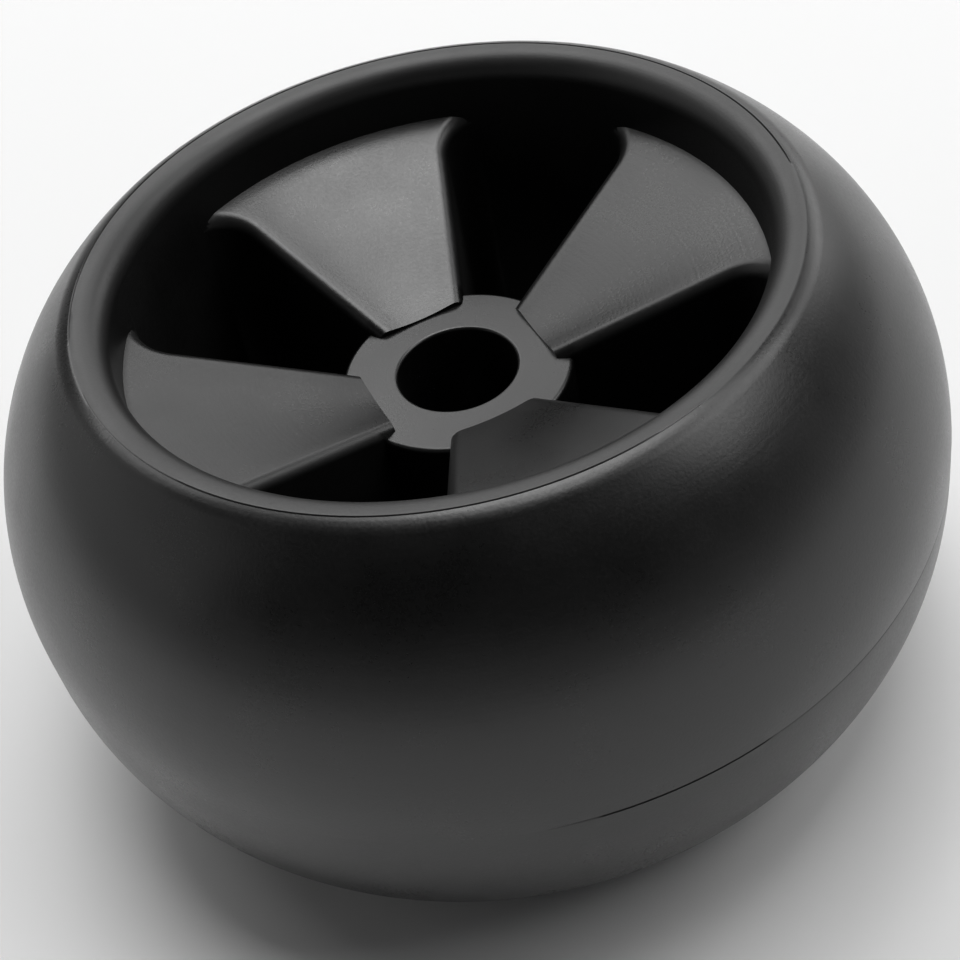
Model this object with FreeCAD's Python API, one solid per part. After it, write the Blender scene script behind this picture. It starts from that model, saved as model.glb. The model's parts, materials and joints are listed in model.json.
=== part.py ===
import FreeCAD, Part
import math
import os

# A mower deck wheel, moulded in one piece. The axle runs along Z and the origin is the middle of the bore.
# All lengths are in millimetres and all angles in degrees.

# Rim
wheel_diameter = 127.0
wheel_width = 69.85
rim_thickness = 21.8   # from the middle of the tread to the straight wall of the recess
tread_land = 4.0       # straight band round the middle of the tread, where the mould halves meet
shoulder_round = 5.5   # soft shoulder between the crown and the lip
shoulder_tilt = 15.0   # how steeply the shoulder leaves the lip, which gives the lip its crisp edge
lip_flat = 0.7         # narrow flat ring inside that edge
lip_round = 3.5        # rolled edge from the ring down into the recess

# Hub
axle_diameter = 15.875
axle_clearance = 0.225
hub_wall = 7.45
hub_length = 28.575
hub_edge_round = 0.6
bore_mouth_round = 0.5

# Ribs, and the webs that close every other cell at each end
webs_per_end = 4
rib_thickness = 3.0
rib_root_round = 5.0   # corner of a pocket, between a rib and the rim
web_thickness = 4.0
web_depth = 8.86       # how far the outer end of a web lies below the lip
web_overlap = 3.7      # how far the straight inner end of a web reaches in over the hub
web_step = 0.3         # how far that end stands above the hub face
web_edge_round = 1.7

# How far hidden ends run on inside the rim before they are joined to it
pocket_overrun = 0.2
web_embed = 3.0

# Sizes worked out from those above
wheel_radius = wheel_diameter / 2
half_width = wheel_width / 2
recess_radius = wheel_radius - rim_thickness
roll_radius = recess_radius + lip_round
lip_edge_radius = roll_radius + lip_flat
bore_radius = (axle_diameter + axle_clearance) / 2
hub_radius = bore_radius + hub_wall
hub_face = hub_length / 2
rib_half = rib_thickness / 2
web_pitch = 360.0 / webs_per_end
half_cell = web_pitch / 4
web_end = hub_radius - web_overlap
web_end_height = hub_face + web_step
web_slope = (half_width - web_depth - web_end_height) / (recess_radius - web_end)
pocket_reach = recess_radius + pocket_overrun
web_reach = recess_radius + web_embed

origin = FreeCAD.Vector(0, 0, 0)
axis = FreeCAD.Vector(0, 0, 1)
along_x = FreeCAD.Vector(1, 0, 0)


def web_height(radius):
    """Height of the conical face of the webs, which falls towards the hub, above the middle of the wheel."""
    return web_end_height + (radius - web_end) * web_slope


def in_section(radius, height):
    """A point in the section of the wheel, which lies in the XZ plane."""
    return FreeCAD.Vector(radius, 0, height)


def in_plan(distance, angle):
    """A point in the plan of the wheel, by its distance from the axle and its direction."""
    return FreeCAD.Rotation(axis, angle).multVec(along_x * distance)


def line(start, end):
    return Part.LineSegment(start, end).toShape()


def arc(start, middle, end):
    return Part.Arc(start, middle, end).toShape()


def quarter_round(radius, height, size, out, up):
    """A quarter round in the section, by its centre and the two sides that it faces (1 or -1)."""
    half_way = size * math.sqrt(0.5)
    return arc(in_section(radius + out * size, height),
               in_section(radius + out * half_way, height + up * half_way),
               in_section(radius, height + up * size))


def revolved(edges):
    """A full turn of a closed section."""
    section = Part.Wire(Part.sortEdges(edges)[0])
    return Part.Face(section).revolve(origin, axis, 360)


def turned(shape, angle):
    """A copy of the shape turned about the axle."""
    copy = shape.copy()
    copy.rotate(origin, axis, angle)
    return copy


def to_other_end(shape):
    """A copy turned end for end, and on by half a web, so that its webs face the first end's pockets."""
    copy = shape.copy()
    copy.rotate(origin, along_x, 180)
    return turned(copy, web_pitch / 2)


def on_circle(centre, size, angle):
    """A point of a circle in the section, by its angle above the level."""
    turn = math.radians(angle)
    return centre + in_section(math.cos(turn), math.sin(turn)) * size


def tread_arcs():
    """Crown and shoulder of the upper half, each by three points. The two run smoothly into each other."""
    shoulder_end = 90.0 - shoulder_tilt
    lip_edge = in_section(lip_edge_radius, half_width)
    shoulder_centre = on_circle(lip_edge, -shoulder_round, shoulder_end)
    fall = wheel_radius - shoulder_centre.x
    run = shoulder_centre.z - tread_land / 2
    crown_radius = (fall ** 2 + run ** 2 - shoulder_round ** 2) / (2 * (fall - shoulder_round))
    crown_centre = in_section(wheel_radius - crown_radius, tread_land / 2)
    crown_end = math.degrees(math.atan2(run, crown_radius - fall))
    joint = on_circle(crown_centre, crown_radius, crown_end)
    land_edge = in_section(wheel_radius, tread_land / 2)
    crown_middle = on_circle(crown_centre, crown_radius, crown_end / 2)
    shoulder_middle = on_circle(shoulder_centre, shoulder_round, (crown_end + shoulder_end) / 2)
    return [land_edge, crown_middle, joint], [joint, shoulder_middle, lip_edge]


def rim():
    """The solid rim: crowned tread, a rolled lip at each end and a straight wall inside."""
    land = tread_land / 2
    wall = half_width - lip_round
    edges = [line(in_section(wheel_radius, -land), in_section(wheel_radius, land)),
             line(in_section(recess_radius, -wall), in_section(recess_radius, wall))]
    for up in (1, -1):
        for points in tread_arcs():
            start, middle, end = [in_section(point.x, up * point.z) for point in points]
            edges.append(arc(start, middle, end))
        lip_edge = in_section(lip_edge_radius, up * half_width)
        edges.append(line(lip_edge, in_section(roll_radius, up * half_width)))
        edges.append(quarter_round(roll_radius, up * wall, lip_round, -1, up))
    return revolved(edges)


def hub():
    """The hub, with its bore, rounded bore mouths and rounded outer edges."""
    outer = hub_radius - hub_edge_round
    outer_wall = hub_face - hub_edge_round
    mouth = bore_radius + bore_mouth_round
    bore_wall = hub_face - bore_mouth_round
    edges = [line(in_section(hub_radius, -outer_wall), in_section(hub_radius, outer_wall)),
             line(in_section(bore_radius, -bore_wall), in_section(bore_radius, bore_wall))]
    for up in (1, -1):
        edges.append(quarter_round(outer, up * outer_wall, hub_edge_round, 1, up))
        edges.append(line(in_section(outer, up * hub_face), in_section(mouth, up * hub_face)))
        edges.append(quarter_round(mouth, up * bore_wall, bore_mouth_round, -1, up))
    return revolved(edges)


def beside_rib(along, across, rib_angle):
    """A point in the plan, by its distance along the centre line of a rib and to the left of it."""
    return in_plan(along, rib_angle) + in_plan(across, rib_angle + 90)


def pocket_side(side):
    """Inner end of one side of a pocket along X, then the start, middle and end of its corner round."""
    rib_angle = side * half_cell
    across = rib_half + rib_root_round
    along = math.sqrt((pocket_reach - rib_root_round) ** 2 - across ** 2)
    centre = beside_rib(along, -side * across, rib_angle)
    start = beside_rib(along, -side * rib_half, rib_angle)
    outwards = FreeCAD.Vector(centre).normalize()
    to_start = (start - centre).normalize()
    middle = centre + (outwards + to_start).normalize() * rib_root_round
    end = centre + outwards * rib_root_round
    inner = beside_rib(web_end, -side * rib_half, rib_angle)
    return inner, start, middle, end


def pocket():
    """One pocket along X, between two ribs and out into the rim, over the whole width of the wheel."""
    right_inner, right_start, right_middle, right_end = pocket_side(-1)
    left_inner, left_start, left_middle, left_end = pocket_side(1)
    outline = Part.Wire([line(left_inner, right_inner),
                         line(right_inner, right_start),
                         arc(right_start, right_middle, right_end),
                         arc(right_end, in_plan(pocket_reach, 0), left_end),
                         arc(left_end, left_middle, left_start),
                         line(left_start, left_inner)])
    plan = Part.Face(outline)
    plan.translate(axis * -half_width)
    return plan.extrude(axis * wheel_width)


def space_between_webs():
    """The many-sided space in the middle, which gives the webs their straight inner ends."""
    corner = web_end / math.cos(math.radians(web_pitch / 2))
    corners = [in_plan(corner, k * web_pitch) for k in range(webs_per_end)]
    plan = Part.Face(Part.makePolygon(corners + corners[:1]))
    plan.translate(axis * -half_width)
    return plan.extrude(axis * wheel_width)


def cavity():
    """All that is open at the first end: its pockets down to their floors, and the space between its webs."""
    pockets = [turned(pocket(), k * web_pitch) for k in range(webs_per_end)]
    opening = space_between_webs().fuse(pockets)
    base = -wheel_width
    corners = [in_section(0, base),
               in_section(web_reach, base),
               in_section(web_reach, web_thickness - web_height(web_reach)),
               in_section(0, web_thickness - web_height(0))]
    floor = revolved(Part.makePolygon(corners + corners[:1]).Edges)
    return opening.cut(floor)


def pocket_mouths(shape):
    """The edges where the pockets open through the conical faces of the webs."""
    touching = 0.001
    outer_limit = (pocket_reach + web_reach) / 2
    found = []
    for edge in shape.Edges:
        middle = edge.valueAt((edge.FirstParameter + edge.LastParameter) / 2)
        radius = math.hypot(middle.x, middle.y)
        on_web = abs(abs(middle.z) - web_height(radius)) < touching
        if on_web and hub_radius < radius < outer_limit:
            found.append(edge)
    return found


def webs_and_ribs():
    """Webs and ribs in one star, still open in the middle, with the pocket mouths rounded over."""
    inner = web_end / 2
    corners = [in_section(inner, -web_height(inner)),
               in_section(web_reach, -web_height(web_reach)),
               in_section(web_reach, web_height(web_reach)),
               in_section(inner, web_height(inner))]
    disc = revolved(Part.makePolygon(corners + corners[:1]).Edges)
    first_end = cavity()
    star = disc.cut(first_end).cut(to_other_end(first_end))
    return star.makeFillet(web_edge_round, pocket_mouths(star))


os.makedirs("parts", exist_ok=True)
deck_wheel = rim().fuse([webs_and_ribs(), hub()]).removeSplitter()
deck_wheel.exportStep("parts/deck_wheel.step")
print("solids", len(deck_wheel.Solids), "valid", deck_wheel.isValid())
print("volume in cubic centimetres", round(deck_wheel.Volume / 1000, 2))
print("box", deck_wheel.optimalBoundingBox(False, False))
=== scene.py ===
# %% [markdown]
# A deck wheel carries the edge of a mower deck over bumps, so that the blades don't cut into the turf.
# It is one piece of black plastic, moulded between two halves of a steel tool. This lesson models it
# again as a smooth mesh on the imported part's sizes, gives it the satin finish of a new moulding, and
# lights it on a pale floor.

# %% Load the frame
import json
import math
import bmesh
import bpy
from mathutils import Matrix, Vector


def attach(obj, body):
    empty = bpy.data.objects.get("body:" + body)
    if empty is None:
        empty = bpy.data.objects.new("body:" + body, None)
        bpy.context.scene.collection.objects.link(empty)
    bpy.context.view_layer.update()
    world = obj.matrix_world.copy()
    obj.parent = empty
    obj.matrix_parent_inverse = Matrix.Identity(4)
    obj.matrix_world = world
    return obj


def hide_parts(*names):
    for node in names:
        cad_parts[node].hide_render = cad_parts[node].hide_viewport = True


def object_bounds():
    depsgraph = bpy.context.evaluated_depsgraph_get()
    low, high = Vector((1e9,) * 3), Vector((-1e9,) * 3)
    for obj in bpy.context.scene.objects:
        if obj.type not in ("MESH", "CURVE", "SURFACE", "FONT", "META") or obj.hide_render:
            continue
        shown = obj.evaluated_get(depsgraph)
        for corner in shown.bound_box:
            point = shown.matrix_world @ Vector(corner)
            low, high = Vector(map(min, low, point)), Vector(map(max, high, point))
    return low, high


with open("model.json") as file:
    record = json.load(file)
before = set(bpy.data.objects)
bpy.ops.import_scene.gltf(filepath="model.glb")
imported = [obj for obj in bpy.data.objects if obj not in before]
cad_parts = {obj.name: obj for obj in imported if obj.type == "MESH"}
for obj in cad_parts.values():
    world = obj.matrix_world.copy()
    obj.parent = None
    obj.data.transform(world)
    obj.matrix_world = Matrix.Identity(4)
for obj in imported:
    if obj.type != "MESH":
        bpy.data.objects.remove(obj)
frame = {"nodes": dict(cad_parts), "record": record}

cad_low, cad_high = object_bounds()
print("nodes", sorted(frame["nodes"]), "box", [round(x, 5) for x in (*cad_low, *cad_high)])

# %% [markdown]
# A maker starts from a few sizes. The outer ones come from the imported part's box, and the bore and the
# hub face from its mounts, so the mesh can't drift away from the part. A hair is taken off the outer ones,
# so that rounding never pokes out of the box. The moulding's own sizes, its walls and rounds and steps,
# stand at the head of the step that needs them first. All are in metres.

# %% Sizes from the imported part
mm = 0.001
hair = 0.001 * mm
mounts = {mount["name"]: mount for mount in frame["record"]["mounts"]}
wheel_radius = cad_high.x - hair
half_width = cad_high.z - hair
bore_radius = mounts["axle_bore"]["dims"]["r_mm"] * mm
hub_face = mounts["hub_face_upper"]["pos_m"][2]
print("radius", wheel_radius, "half width", half_width, "bore", bore_radius, "hub face", hub_face)

# %% [markdown]
# Every piece below is shaped in edit mode, and an operator works on whatever is selected. So the first
# helpers start a piece with nothing else selected, and pick points or edges by where they are, as a click
# would.

# %% Helpers for starting and picking
small = 0.01 * mm


def near(a, b):
    """True for two lengths that are the same, but for rounding."""
    return abs(a - b) < small


def begin():
    """Leaves edit mode with nothing selected, ready for a new primitive."""
    if bpy.context.object and bpy.context.object.mode != "OBJECT":
        bpy.ops.object.mode_set(mode="OBJECT")
    bpy.ops.object.select_all(action="DESELECT")


def edit(name):
    """Names the primitive that was just added, puts its place into its mesh and opens it for editing."""
    piece = bpy.context.object
    piece.name = name
    piece.data.name = name
    bpy.ops.object.transform_apply(location=True, rotation=True, scale=True)
    bpy.ops.object.mode_set(mode="EDIT")
    return piece


def pick(piece, kind, test):
    """Selects the points or edges (VERT or EDGE) whose ends all pass the test, and counts them."""
    bpy.ops.mesh.select_mode(type=kind)
    bpy.ops.mesh.select_all(action="DESELECT")
    shape = bmesh.from_edit_mesh(piece.data)
    found = 0
    for part in shape.verts if kind == "VERT" else shape.edges:
        ends = [part] if kind == "VERT" else part.verts
        if all(test(end.co) for end in ends):
            part.select_set(True)
            found += 1
    shape.select_flush_mode()
    bmesh.update_edit_mesh(piece.data)
    return found


print("lengths closer than", small, "m count as the same")

# %% [markdown]
# The next helpers are the moves for a turned piece. Its section is drawn point by point, spun about the axle
# and welded shut. Rim and hub are the same at both ends, so half a section is enough, and a mirror makes the
# other half.

# %% Helpers for drawing and closing
mirror_across_z = (False, False, True)


def draw_to(x, z):
    """Draws the section on from its one selected point, in the XZ plane."""
    shape = bmesh.from_edit_mesh(bpy.context.object.data)
    end = next(point.co.copy() for point in shape.verts if point.select)
    move = Vector((x, 0, z)) - end
    bpy.ops.mesh.extrude_region_move(TRANSFORM_OT_translate={"value": move})


def close_seams(piece):
    """Welds points that lie on each other and turns all faces outwards."""
    bpy.ops.mesh.select_all(action="SELECT")
    bpy.ops.mesh.remove_doubles(threshold=small)
    bpy.ops.mesh.normals_make_consistent(inside=False)
    shape = bmesh.from_edit_mesh(piece.data)
    open_edges = sum(not edge.is_manifold for edge in shape.edges)
    print(piece.name, "faces", len(shape.faces), "open edges", open_edges)


def mirrored(piece, across):
    """Leaves edit mode, completes the piece with a mirror and opens it again."""
    bpy.ops.object.mode_set(mode="OBJECT")
    bpy.ops.object.modifier_add(type="MIRROR")
    mirror = piece.modifiers[-1]
    mirror.use_axis = across
    mirror.merge_threshold = small
    bpy.ops.object.modifier_apply(modifier=mirror.name)
    bpy.ops.object.mode_set(mode="EDIT")


def turn_to_solid(piece, steps):
    """Spins the upper half of a section about the axle and mirrors it to the other end."""
    bpy.ops.mesh.select_all(action="SELECT")
    bpy.ops.mesh.spin(steps=steps, angle=math.tau, center=(0, 0, 0), axis=(0, 0, 1))
    bpy.ops.mesh.select_all(action="SELECT")
    bpy.ops.mesh.remove_doubles(threshold=small)
    mirrored(piece, mirror_across_z)
    close_seams(piece)


# %% [markdown]
# The rim is the barrel-shaped tread with a rolled lip at each end. Its section is a long crown that runs
# smoothly into a tighter shoulder, and the shoulder meets the lip at a crisp edge. Where one arc runs into
# another, both centres lie on a line with the place where they meet, and that gives the radius of the crown
# and how far round it goes.

# %% Rim: arcs of the section
rim_thickness = 21.8 * mm
land_half = 2.0 * mm
shoulder_round = 5.5 * mm
shoulder_tilt = math.radians(15)
lip_flat = 0.7 * mm
lip_round = 3.5 * mm

recess_radius = wheel_radius - rim_thickness
lip_edge_radius = recess_radius + lip_round + lip_flat
lip_edge = Vector((lip_edge_radius, 0, half_width))
shoulder_way = Vector((math.sin(shoulder_tilt), 0, math.cos(shoulder_tilt)))
shoulder_centre = lip_edge - shoulder_round * shoulder_way
fall = wheel_radius - shoulder_centre.x
run = shoulder_centre.z - land_half
crown_radius = (fall ** 2 + run ** 2 - shoulder_round ** 2) / (2 * (fall - shoulder_round))
crown_centre = Vector((wheel_radius - crown_radius, 0, land_half))
crown_turn = math.atan2(run, crown_radius - fall)
shoulder_turn = math.pi / 2 - shoulder_tilt - crown_turn
crown_degrees = round(math.degrees(crown_turn), 1)
print("crown radius", round(crown_radius / mm, 2), "mm, through", crown_degrees, "degrees")

# %% [markdown]
# Half of that section is now drawn once, from a single point at the middle of the tread: spinning the point
# draws both arcs, extruding it draws the straight runs, and one vertex bevel rolls the lip. Two hairlines
# belong to the tool: a seam where its halves meet, round the middle of the tread, and one where the lip ring
# meets the tread. Both are real grooves here, because a painted line has no shadow.

# %% Rim: draw and turn
turn_steps = 240
crown_steps = 28
shoulder_steps = 10
roll_segments = 10
true_arc = 0.5
seam_half = 0.16 * mm
seam_depth = 0.22 * mm
lip_line_half = 0.13 * mm
lip_line_depth = 0.26 * mm

begin()
bpy.ops.mesh.primitive_plane_add(size=mm, location=(wheel_radius - seam_depth, 0, 0))
rim = edit("rim")
bpy.ops.mesh.select_all(action="SELECT")
bpy.ops.mesh.merge(type="CENTER")
draw_to(wheel_radius, seam_half)
draw_to(wheel_radius, land_half)
# Looking along the axis of a spin, from its tip, a positive angle turns clockwise.
bpy.ops.mesh.spin(steps=crown_steps, angle=crown_turn, center=crown_centre, axis=(0, 1, 0))
bpy.ops.mesh.spin(steps=shoulder_steps, angle=shoulder_turn, center=shoulder_centre, axis=(0, 1, 0))
draw_to(lip_edge_radius - lip_line_half, half_width - lip_line_depth)
draw_to(lip_edge_radius - 2 * lip_line_half, half_width)
draw_to(recess_radius, half_width)
draw_to(recess_radius, 0)
pick(rim, "VERT", lambda p: near(p.z, half_width) and near(p.x, recess_radius))
bpy.ops.mesh.bevel(affect="VERTICES", offset=lip_round, segments=roll_segments, profile=true_arc)
turn_to_solid(rim, turn_steps)

# %% [markdown]
# A real seam comes and goes: the halves of a tool close tightly in one place and gape a little in another.
# So the foot of each groove is raised by a share that changes round the wheel, down to nothing where the
# tool fits well. The shares are listed by their direction in degrees, and a straight run joins each to the
# next.

# %% Seams that come and go
seam_marks = ((0, 0.3), (40, 0), (120, 0), (150, 0.5), (200, 0.2), (250, 0), (272, 0), (277, 0.15),
              (282, 0), (294, 0), (302, 0.6), (311, 1), (318, 0.8), (324, 0.4), (360, 0.3))
lip_marks = ((0, 0), (25, 0), (35, 0.8), (190, 0.8), (215, 0.1), (250, 0.3), (262, 0.6), (283, 0.7),
             (292, 1), (300, 0.9), (315, 0.5), (328, 0.3), (340, 0), (360, 0))
seam_foot = wheel_radius - seam_depth
lip_line_radius = lip_edge_radius - lip_line_half
lip_line_foot = half_width - lip_line_depth


def round_axle(point):
    """Distance of a point from the axle."""
    return math.hypot(point.x, point.y)


def share(marks, point):
    """Reads a list of marks in the direction of a point."""
    turn = math.degrees(math.atan2(point.y, point.x)) % 360
    for (start, low), (end, high) in zip(marks, marks[1:]):
        if start <= turn <= end:
            return low + (high - low) * (turn - start) / (end - start)


points = [point.co for point in bmesh.from_edit_mesh(rim.data).verts]
seam_points = [p for p in points if near(p.z, 0) and near(round_axle(p), seam_foot)]
lip_points = [p for p in points if near(abs(p.z), lip_line_foot) and near(round_axle(p), lip_line_radius)]
for point in seam_points:
    point.xy *= (wheel_radius - seam_depth * share(seam_marks, point)) / seam_foot
for point in lip_points:
    point.z = math.copysign(half_width - lip_line_depth * share(lip_marks, point), point.z)
bmesh.update_edit_mesh(rim.data)
print("seam points", len(seam_points), "lip line points", len(lip_points))

# %% [markdown]
# The hub is a thick ring round the plain bore. A bolt head bears on its face, so the face stays flat and
# only its edges are broken by small rounds. A plane stood on edge is stretched down to the middle of the
# wheel for its half section, and turned in the same way as the rim.

# %% Hub
hub_wall = 7.45 * mm
hub_edge_round = 0.6 * mm
bore_mouth_round = 0.5 * mm
hub_radius = bore_radius + hub_wall
hub_steps = 96
round_segments = 6

begin()
bpy.ops.mesh.primitive_plane_add(size=hub_wall, rotation=(math.pi / 2, 0, 0),
                                 location=(bore_radius + hub_wall / 2, 0, hub_face - hub_wall / 2))
hub = edit("hub")
pick(hub, "VERT", lambda p: p.z < hub_face - small)
bpy.ops.transform.resize(value=(1, 1, 0), center_override=(0, 0, 0))
pick(hub, "EDGE", lambda p: near(p.z, 0))
bpy.ops.mesh.delete(type="EDGE")
pick(hub, "VERT", lambda p: near(p.z, hub_face) and near(p.x, bore_radius))
bpy.ops.mesh.bevel(affect="VERTICES", offset=bore_mouth_round, segments=round_segments, profile=true_arc)
pick(hub, "VERT", lambda p: near(p.z, hub_face) and near(p.x, hub_radius))
bpy.ops.mesh.bevel(affect="VERTICES", offset=hub_edge_round, segments=round_segments, profile=true_arc)
turn_to_solid(hub, hub_steps)

# %% [markdown]
# Between hub and rim the wall folds up and down like a pleated disc: a web at one end, a rib across, a web
# at the other end. The pleats repeat, and each is its own mirror image, so half of one is enough. It is
# modelled flat, with its rib along X, because a bevel is cleanest on square corners. The side of the rib is
# a grid, the web's edge is extruded from its top, and spinning the end of both sweeps them round the corner
# of the pocket and along the rim.

# %% Half a pleat, flat: walls of the pocket
webs_per_end = 4
rib_half = 1.5 * mm
rib_root_round = 5.0 * mm
pocket_overrun = 0.2 * mm
flat_drop = 40 * mm
inner_end = 10 * mm
rib_pieces = 10
corner_steps = 14
rim_steps = 5

half_cell = math.pi / webs_per_end / 2
strip_width = 2 * rib_half
pocket_reach = recess_radius + pocket_overrun
corner_across = rib_half + rib_root_round
corner_along = math.sqrt((pocket_reach - rib_root_round) ** 2 - corner_across ** 2)
corner_centre = (corner_along, -corner_across, 0)
corner_turn = math.pi / 2 + math.atan2(corner_across, corner_along)
rim_turn = half_cell - math.atan2(corner_across, corner_along)

begin()
bpy.ops.mesh.primitive_grid_add(x_subdivisions=rib_pieces, y_subdivisions=1, size=1,
                                rotation=(math.pi / 2, 0, 0))
pleat = edit("pleat")
bpy.ops.transform.resize(value=(corner_along - inner_end, 1, flat_drop))
bpy.ops.transform.translate(value=((corner_along + inner_end) / 2, -rib_half, -flat_drop / 2))
pick(pleat, "EDGE", lambda p: near(p.z, 0))
bpy.ops.mesh.extrude_region_move(TRANSFORM_OT_translate={"value": (0, strip_width, 0)})
pick(pleat, "EDGE", lambda p: near(p.x, corner_along))
# Seen from above, spin turns clockwise for a positive angle.
bpy.ops.mesh.spin(steps=corner_steps, angle=corner_turn, center=corner_centre, axis=(0, 0, 1))
bpy.ops.mesh.spin(steps=rim_steps, angle=rim_turn, center=(0, 0, 0), axis=(0, 0, 1))
print("pocket corner at", round(corner_along / mm, 2), "mm along the rib")

# %% [markdown]
# The mouth of the pocket is rounded over, so that the plastic flows and no sharp edge is left. Its edges are
# found by how far they stand back from the wall of the pocket, which is straight along the rib, round at
# the corner and round again along the rim.

# %% Half a pleat, flat: the rounded mouth
web_edge_round = 1.7 * mm
mouth_segments = 6


def beside_wall(point):
    """How far a point of the flat pleat stands back from the wall of the pocket."""
    if point.x < corner_along:
        return point.y + rib_half
    if math.atan2(point.y, point.x) < rim_turn - half_cell:
        return round_axle(point) - pocket_reach
    return math.hypot(point.x - corner_along, point.y + corner_across) - rib_root_round


mouth_count = pick(pleat, "EDGE", lambda p: near(p.z, 0) and near(beside_wall(p), 0))
bpy.ops.mesh.bevel(affect="EDGES", offset=web_edge_round, segments=mouth_segments, profile=true_arc)
print("mouth edges rounded", mouth_count)

# %% [markdown]
# Spinning the edge of that strip about the axle makes the web, on true circles, and spinning the foot of the
# wall makes the floor of the pocket. Both overshoot the middle of their cell, where the mirror plane is, and
# are cut there.

# %% Half a pleat, flat: web and floor
sweep_step = rim_turn / rim_steps
sweep_steps = math.ceil(2 * half_cell / sweep_step)
sweep_turn = sweep_steps * sweep_step
sweep_slack = math.radians(0.01)
ring_end = corner_along / math.cos(math.atan2(corner_across, corner_along)) + rib_root_round + strip_width


def on_sweep(point, back):
    """True along the rib and round the corner, at a distance back from the wall of the pocket."""
    turn = math.atan2(point.y, point.x)
    beyond = point.x > corner_along and turn < rim_turn - half_cell - sweep_slack
    return near(beside_wall(point), back) and not beyond


web_count = pick(pleat, "EDGE", lambda p: near(p.z, 0) and on_sweep(p, strip_width))
bpy.ops.mesh.spin(steps=sweep_steps, angle=-sweep_turn, center=(0, 0, 0), axis=(0, 0, 1))
floor_count = pick(pleat, "EDGE", lambda p: near(p.z, -flat_drop) and on_sweep(p, 0))
bpy.ops.mesh.spin(steps=sweep_steps, angle=sweep_turn, center=(0, 0, 0), axis=(0, 0, 1))
print("web from", web_count, "edges, floor from", floor_count)
for side in (1, -1):
    bpy.ops.mesh.select_all(action="SELECT")
    past_middle = (-math.sin(half_cell), side * math.cos(half_cell), 0)
    bpy.ops.mesh.bisect(plane_co=(0, 0, 0), plane_no=past_middle, clear_outer=True, threshold=hair)

# %% [markdown]
# The flat pleat now takes its real heights. Webs and floors are cones that fall towards the hub, so each
# point is lifted by its distance from the axle. No modifier does exactly that, and a short loop over the
# points does.

# %% Lift the pleat onto its cones
web_thickness = 4.0 * mm
web_depth = 8.86 * mm
web_overlap = 3.7 * mm
web_step = 0.3 * mm

web_end = hub_radius - web_overlap
web_end_height = hub_face + web_step
web_slope = (half_width - web_depth - web_end_height) / (recess_radius - web_end)


def web_height(radius):
    """Height of the webs' conical face above the middle of the wheel."""
    return web_end_height + (radius - web_end) * web_slope


points = [point.co for point in bmesh.from_edit_mesh(pleat.data).verts]
for point in points:
    cone = web_height(round_axle(point))
    on_floor = near(point.z, -flat_drop)
    point.z = web_thickness - cone if on_floor else point.z + cone
bmesh.update_edit_mesh(pleat.data)
print("pleat from", min(p.z for p in points) / mm, "to", max(p.z for p in points) / mm, "mm")
print("webs slope by", round(math.degrees(math.atan(web_slope)), 2), "degrees")

# %% [markdown]
# Half a pleat becomes the whole disc. A mirror completes the cell round its pocket, a spin that copies sets
# four cells round the axle, and a copy turned end for end, and on by half a cell, makes the other side. Two
# bridges, hidden in the rim and in the hub, join the two sides.

# %% From half a pleat to the disc
quarter = math.tau / webs_per_end
other_cells = webs_per_end - 1
mirror_across_y = (False, True, False)
inner_reach = math.hypot(inner_end, rib_half)

bpy.ops.mesh.select_all(action="SELECT")
# With no window, rotate turns clockwise for a positive angle too.
bpy.ops.transform.rotate(value=-half_cell, orient_axis="Z", center_override=(0, 0, 0))
mirrored(pleat, mirror_across_y)
bpy.ops.mesh.select_all(action="SELECT")
bpy.ops.mesh.spin(steps=other_cells, dupli=True, angle=other_cells * quarter,
                  center=(0, 0, 0), axis=(0, 0, 1))
bpy.ops.mesh.select_all(action="SELECT")
bpy.ops.mesh.remove_doubles(threshold=small)
bpy.ops.mesh.duplicate()
bpy.ops.transform.rotate(value=math.pi, orient_axis="X", center_override=(0, 0, 0))
bpy.ops.transform.rotate(value=quarter / 2, orient_axis="Z", center_override=(0, 0, 0))
pick(pleat, "EDGE", lambda p: near(round_axle(p), ring_end))
bpy.ops.mesh.bridge_edge_loops()
pick(pleat, "EDGE", lambda p: round_axle(p) < inner_reach + small)
bpy.ops.mesh.bridge_edge_loops()
close_seams(pleat)

# %% [markdown]
# Each web ends in a straight step just above the hub face. A cube as wide as the space between the webs cuts
# the four steps of one end at once, so a Boolean is the plain way. Two more Booleans then weld disc and hub
# into the rim, because the real wheel is one moulding.

# %% One moulding


def boolean(piece, other, operation):
    """Cuts or welds with another object, which is then deleted."""
    begin()
    bpy.context.view_layer.objects.active = piece
    piece.select_set(True)
    bpy.ops.object.modifier_add(type="BOOLEAN")
    step = piece.modifiers[-1]
    step.operation = operation
    step.solver = "EXACT"
    step.object = other
    bpy.ops.object.modifier_apply(modifier=step.name)
    bpy.data.objects.remove(other)
    print(piece.name, operation.lower(), "faces", len(piece.data.polygons))


for end in (1, -1):
    begin()
    turn = quarter / 2 if end > 0 else 0
    bpy.ops.mesh.primitive_cube_add(size=2 * web_end, rotation=(0, 0, turn),
                                    location=(0, 0, end * (hub_face - web_step + web_end)))
    boolean(pleat, bpy.context.object, "DIFFERENCE")
boolean(rim, pleat, "UNION")
boolean(rim, hub, "UNION")

# %% [markdown]
# A moulding has broad smooth faces and a few crisp edges. Smooth shading by angle keeps an edge crisp where
# two faces meet steeply, and weighted normals keep the flat faces flat right up to their rounds.

# %% Smooth faces, crisp edges
crisp_angle = math.radians(35)

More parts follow.
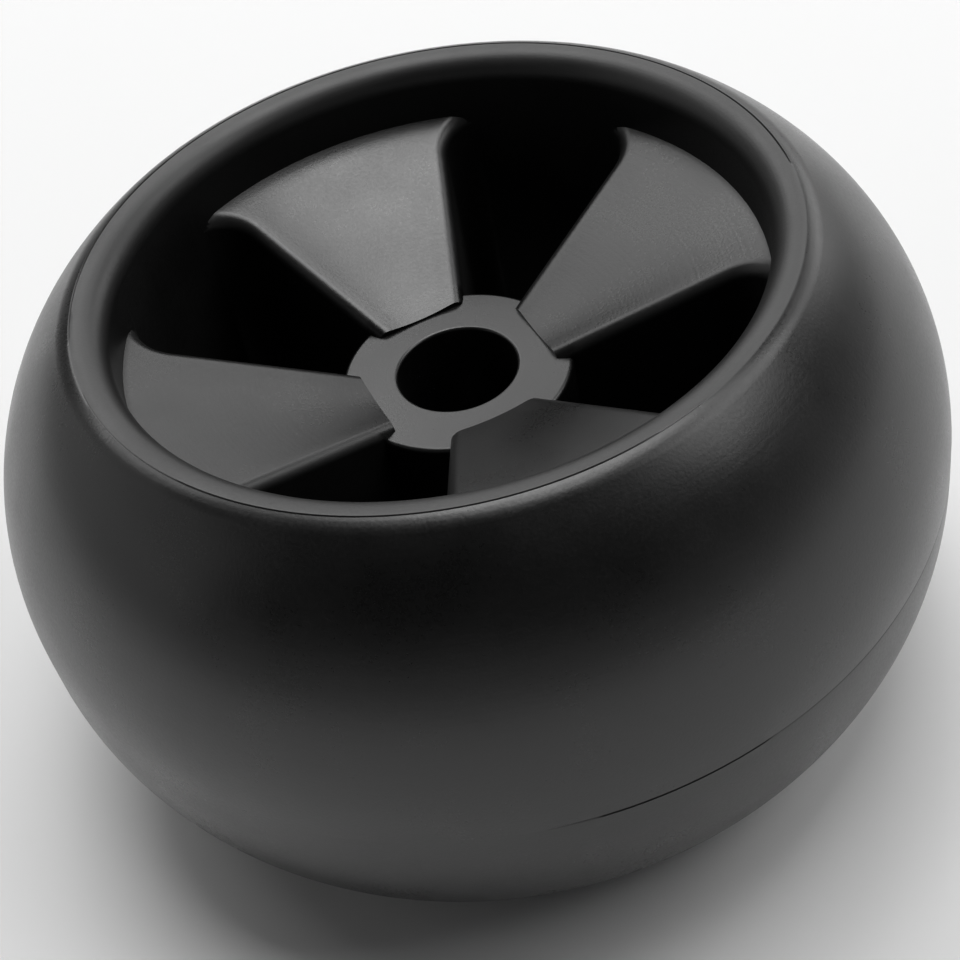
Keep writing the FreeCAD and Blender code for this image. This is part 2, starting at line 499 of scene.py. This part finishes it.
wheel = rim
bpy.ops.object.mode_set(mode="EDIT")
wheel.name = "deck_wheel_moulding"
wheel.data.name = "deck_wheel_moulding"
close_seams(wheel)
bpy.ops.object.mode_set(mode="OBJECT")
bpy.ops.object.shade_smooth_by_angle(angle=crisp_angle)
bpy.ops.object.modifier_add(type="WEIGHTED_NORMAL")
wheel.modifiers[-1].keep_sharp = True
bpy.ops.object.modifier_apply(modifier=wheel.modifiers[-1].name)
print("triangles", sum(len(face.vertices) - 2 for face in wheel.data.polygons))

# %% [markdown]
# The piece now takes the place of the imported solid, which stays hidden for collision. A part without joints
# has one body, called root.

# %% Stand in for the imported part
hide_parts("deck_wheel")
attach(wheel, "root")
print(wheel.name, "stands for deck_wheel")

# %% [markdown]
# The finish is plain black polyethylene as it comes from the tool. One Principled shader is enough, because
# the plastic is the same all over. The helpers below lay out its nodes: a cloudy pattern, a ramp between two
# values, and a step of arithmetic.

# %% Plastic: the shader and its helpers
plastic_ior = 1.57
cloud_low = 0.3
cloud_high = 0.7

plastic = bpy.data.materials.new("satin_black_polyethylene")
plastic.use_nodes = True
nodes = plastic.node_tree.nodes
links = plastic.node_tree.links
shader = nodes["Principled BSDF"]
shader.inputs["IOR"].default_value = plastic_ior
wheel.data.materials.clear()
wheel.data.materials.append(plastic)


def noise(vector, scale, detail):
    """A cloudy pattern between 0 and 1."""
    texture = nodes.new("ShaderNodeTexNoise")
    texture.inputs["Scale"].default_value = scale
    texture.inputs["Detail"].default_value = detail
    links.new(vector, texture.inputs["Vector"])
    return texture.outputs["Fac"]


def stretch(value, start, end, low, high):
    """Runs from low to high while a value runs from start to end."""
    ramp = nodes.new("ShaderNodeMapRange")
    ramp.inputs["From Min"].default_value = start
    ramp.inputs["From Max"].default_value = end
    ramp.inputs["To Min"].default_value = low
    ramp.inputs["To Max"].default_value = high
    links.new(value, ramp.inputs["Value"])
    return ramp.outputs["Result"]


def reach(pattern, low, high):
    """Stretches the middle of a cloudy pattern to run from low to high."""
    return stretch(pattern, cloud_low, cloud_high, low, high)


def work_out(operation, *values):
    """One step of arithmetic on numbers and on values that change over the surface."""
    step = nodes.new("ShaderNodeMath")
    step.operation = operation
    for slot, value in zip(step.inputs, values):
        if isinstance(value, float):
            slot.default_value = value
        else:
            links.new(value, slot)
    return step.outputs[0]


print("plastic with an index of refraction of", plastic_ior)

# %% [markdown]
# A moulding is never quite even. It is a little mottled where the melt cooled at different rates, it takes
# the fine grain of the steel, and it shows faint rings where the steel was turned. All three patterns hang
# on the Object coordinates, so they keep their size in metres, and the rings need only the distance from
# the axle.

# %% Plastic: mottle, grain and rings
mottle_scale = 70
mottle_detail = 4
grain_scale = 2600
ring_scale = 1400
fine_detail = 3

place = nodes.new("ShaderNodeTexCoord").outputs["Object"]
axes = nodes.new("ShaderNodeSeparateXYZ")
links.new(place, axes.inputs[0])
x_squared = work_out("MULTIPLY", axes.outputs["X"], axes.outputs["X"])
y_squared = work_out("MULTIPLY", axes.outputs["Y"], axes.outputs["Y"])
radius = work_out("SQRT", work_out("ADD", x_squared, y_squared))
height = work_out("ABSOLUTE", axes.outputs["Z"])
mottle = noise(place, mottle_scale, mottle_detail)
grain = noise(place, grain_scale, fine_detail)
rings = noise(radius, ring_scale, fine_detail)
print("mottles of about", round(1 / mottle_scale / mm), "mm, grain of", round(1 / grain_scale / mm, 2), "mm")

# %% [markdown]
# Wheels rub against each other in their box, and their edges take most of it. So the rolled lip and the
# rounded edges of the webs are a little rougher than the faces. Where a point lies is told from its distance
# from the axle and its height: the lip is a ring, and an edge of a web is what falls away below the web's
# cone, between hub and rim.

# %% Plastic: satin faces and rubbed edges
satin = 0.31
satin_spread = 0.04
speckle = 0.03
rubbed = 0.14
edge_fade = 0.6 * mm

cone = work_out("MULTIPLY_ADD", radius, web_slope, web_height(0))
below_web = stretch(work_out("SUBTRACT", cone, height), 0, edge_fade, 0, 1)
past_hub = stretch(radius, hub_radius, hub_radius + edge_fade, 0, 1)
in_recess = stretch(radius, recess_radius, recess_radius - edge_fade, 0, 1)
in_lip = stretch(radius, lip_edge_radius, lip_edge_radius - edge_fade, 0, 1)
edges_of_webs = work_out("MULTIPLY", in_recess, work_out("MULTIPLY", below_web, past_hub))
edges = work_out("ADD", work_out("SUBTRACT", in_lip, in_recess), edges_of_webs)
mottled = reach(mottle, satin - satin_spread, satin + satin_spread)
speckled = work_out("ADD", mottled, reach(grain, -speckle, speckle))
links.new(work_out("MULTIPLY_ADD", edges, rubbed, speckled), shader.inputs["Roughness"])
print("roughness", satin, "on the faces and", round(satin + rubbed, 2), "on the edges")

# %% [markdown]
# The black itself shifts a little with the mottling. The grain and the rings are far too fine to model, so a
# bump carries them.

# %% Plastic: black and bump
black = 0.0025
worn_black = 0.004
grain_height = 0.012 * mm
ring_share = 0.3

blacks = nodes.new("ShaderNodeCombineColor")
for channel in ("Red", "Green", "Blue"):
    links.new(reach(mottle, black, worn_black), blacks.inputs[channel])
links.new(blacks.outputs["Color"], shader.inputs["Base Color"])
bump = nodes.new("ShaderNodeBump")
bump.inputs["Distance"].default_value = grain_height
links.new(work_out("ADD", grain, reach(rings, 0, ring_share)), bump.inputs["Height"])
links.new(bump.outputs["Normal"], shader.inputs["Normal"])
print("plastic nodes", len(nodes))

# %% [markdown]
# The camera stands close, in front and to the right, and looks down on the wheel at nearly 45 degrees, so
# that the hollow end and the tread both show. It is also turned a little about its own line of sight. Its
# place follows from those angles and one distance, and a small slide in the plane of the picture sets the
# wheel in the frame.

# %% Camera
view_azimuth = math.radians(28.8)
view_elevation = math.radians(44.652)
view_roll = math.radians(13.058)
view_distance = 228.713 * mm
view_offset = Vector((-0.725 * mm, 4.943 * mm, 0))
near_clip = 10 * mm
picture_pixels = 960
focal_pixels = 1650.2
sensor_width = 36.0

back = Vector((math.sin(view_azimuth) * math.cos(view_elevation),
               -math.cos(view_azimuth) * math.cos(view_elevation),
               math.sin(view_elevation)))
right = Vector((math.cos(view_azimuth), math.sin(view_azimuth), 0))
up = back.cross(right)
rolled_right = math.cos(view_roll) * right - math.sin(view_roll) * up
rolled_up = math.sin(view_roll) * right + math.cos(view_roll) * up
facing = Matrix((rolled_right, rolled_up, back)).transposed()
begin()
bpy.ops.object.camera_add()
camera = bpy.context.object
camera.name = "camera"
camera.data.sensor_width = sensor_width
camera.data.lens = focal_pixels / picture_pixels * sensor_width
camera.data.clip_start = near_clip
camera.matrix_world = facing.to_4x4()
camera.location = facing @ (Vector((0, 0, view_distance)) - view_offset)
bpy.context.scene.camera = camera
print("camera", [round(c, 4) for c in camera.location])

# %% [markdown]
# The wheel stands on a wide pale floor, matt like paper. It is lit like everything else, so it keeps the
# wheel's soft shadow, and its pale colour alone brings it up to white. Standard as the view transform shows
# each colour as it is set here.

# %% Floor
floor_size = 8.0
floor_grey = 0.8
floor_roughness = 0.9

bpy.context.scene.view_settings.view_transform = "Standard"
begin()
bpy.ops.mesh.primitive_plane_add(size=floor_size, location=(0, 0, cad_low.z))
floor = bpy.context.object
floor.name = "floor"
pale = bpy.data.materials.new("pale_floor")
pale.use_nodes = True
pale_shader = pale.node_tree.nodes["Principled BSDF"]
pale_shader.inputs["Base Color"].default_value = (floor_grey, floor_grey, floor_grey, 1)
pale_shader.inputs["Roughness"].default_value = floor_roughness
pale_shader.inputs["Specular IOR Level"].default_value = 0
floor.data.materials.append(pale)
print("floor", floor_size, "m wide, at height", round(cad_low.z, 5))

# %% [markdown]
# A black part is drawn by what it mirrors, so the lamps are placed by where each face of the wheel looks.
# The webs slope four ways and mirror four places above and behind the wheel, so most of the softboxes stand
# there. Rounds mirror a wide fan of places, and three lower lamps draw soft lines along them. The side
# towards the camera stays dark, which gives the tread its deep band below the lip.

# %% Softboxes
lamp_distance = 2.0


def softbox(name, turn, height, width, depth, glow):
    """A soft lamp aimed at the wheel, by its turn from +Y towards +X and its height, both in degrees."""
    around = math.radians(turn)
    above = math.radians(height)
    ahead = Vector((math.sin(around) * math.cos(above), math.cos(around) * math.cos(above), math.sin(above)))
    begin()
    bpy.ops.object.light_add(type="AREA", location=ahead * lamp_distance)
    lamp = bpy.context.object
    lamp.name = name
    lamp.rotation_euler = (-ahead).to_track_quat("-Z", "Y").to_euler()
    lamp.data.shape = "RECTANGLE"
    lamp.data.size = width
    lamp.data.size_y = depth
    lamp.data.energy = glow * math.pi * width * depth
    print(name, "watts", round(lamp.data.energy, 2))


softbox("overhead_softbox", 12, 77, 1.10, 1.10, 5.1)
softbox("high_left_softbox", 320, 66, 0.83, 0.83, 3.0)
softbox("right_softbox", 63, 46, 1.40, 0.90, 2.9)
softbox("left_back_softbox", 298, 46, 1.40, 0.85, 2.25)
softbox("back_softbox", 340, 37, 1.50, 0.85, 2.0)
softbox("back_strip", 358, 16, 2.70, 0.55, 1.35)
softbox("right_back_softbox", 27, 24, 1.00, 0.60, 1.9)
softbox("left_wall", 250, 26, 2.00, 1.10, 0.4)

# %% [markdown]
# The rest of the studio is the world: pale at the horizon, where walls stand far off, and dark overhead. A
# smooth ramp on the height of each direction blends the two.

# %% World
horizon_glow = 0.36
horizon_reach = 0.42
ceiling_glow = 0.02

world = bpy.data.worlds.new("studio")
bpy.context.scene.world = world
world.use_nodes = True
sky_nodes = world.node_tree.nodes
sky_links = world.node_tree.links
direction = sky_nodes.new("ShaderNodeTexCoord")
sky_axes = sky_nodes.new("ShaderNodeSeparateXYZ")
fade = sky_nodes.new("ShaderNodeMapRange")
fade.interpolation_type = "SMOOTHSTEP"
fade.inputs["From Max"].default_value = horizon_reach
fade.inputs["To Min"].default_value = horizon_glow
fade.inputs["To Max"].default_value = ceiling_glow
sky_links.new(direction.outputs["Generated"], sky_axes.inputs[0])
sky_links.new(sky_axes.outputs["Z"], fade.inputs["Value"])
sky_links.new(fade.outputs["Result"], sky_nodes["Background"].inputs["Strength"])
sky_nodes["Background"].inputs["Color"].default_value = (1, 1, 1, 1)
print("world from", horizon_glow, "at the horizon to", ceiling_glow, "overhead")
